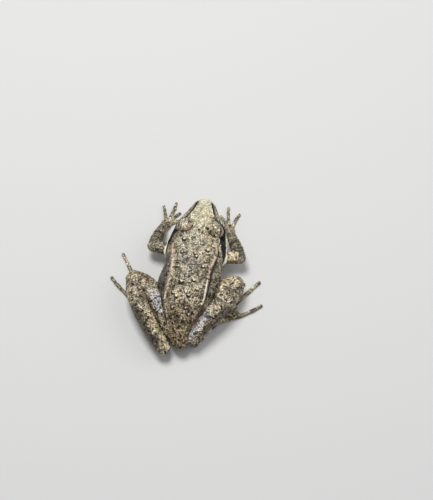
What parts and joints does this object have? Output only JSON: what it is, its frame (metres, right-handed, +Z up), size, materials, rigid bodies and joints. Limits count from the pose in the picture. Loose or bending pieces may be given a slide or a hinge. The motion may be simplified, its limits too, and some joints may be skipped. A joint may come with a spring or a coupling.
{
  "type": "wood frog model",
  "caption": "Life-size still model of a wood frog sitting low with folded hind legs, webbed feet and ridged folds along its back, resting on its belly, hands and feet",
  "frame": {"origin": "on the floor, on the flat that the belly rests on, under the frog's midline and 27 mm behind the snout's tip", "axes": "the head points to -Y, the frog's left side to +X, and +Z is up"},
  "size_m": [0.0437, 0.0488, 0.0142],
  "materials": {
    "skin": "moist, finely granular frog skin, olive tan with dark flecks",
    "eye": "clear gloss over a dark bronze iris and black pupil"
  },
  "bodies": {
    "root": {"head": "skin", "torso": "skin", "eye_left": "eye", "eye_right": "eye", "upper_arm_left": "skin", "upper_arm_right": "skin", "forearm_left": "skin", "forearm_right": "skin", "hand_left": "skin", "hand_right": "skin", "thigh_left": "skin", "thigh_right": "skin", "shank_left": "skin", "shank_right": "skin", "foot_left": "skin", "foot_right": "skin"}
  },
  "joints": []
}
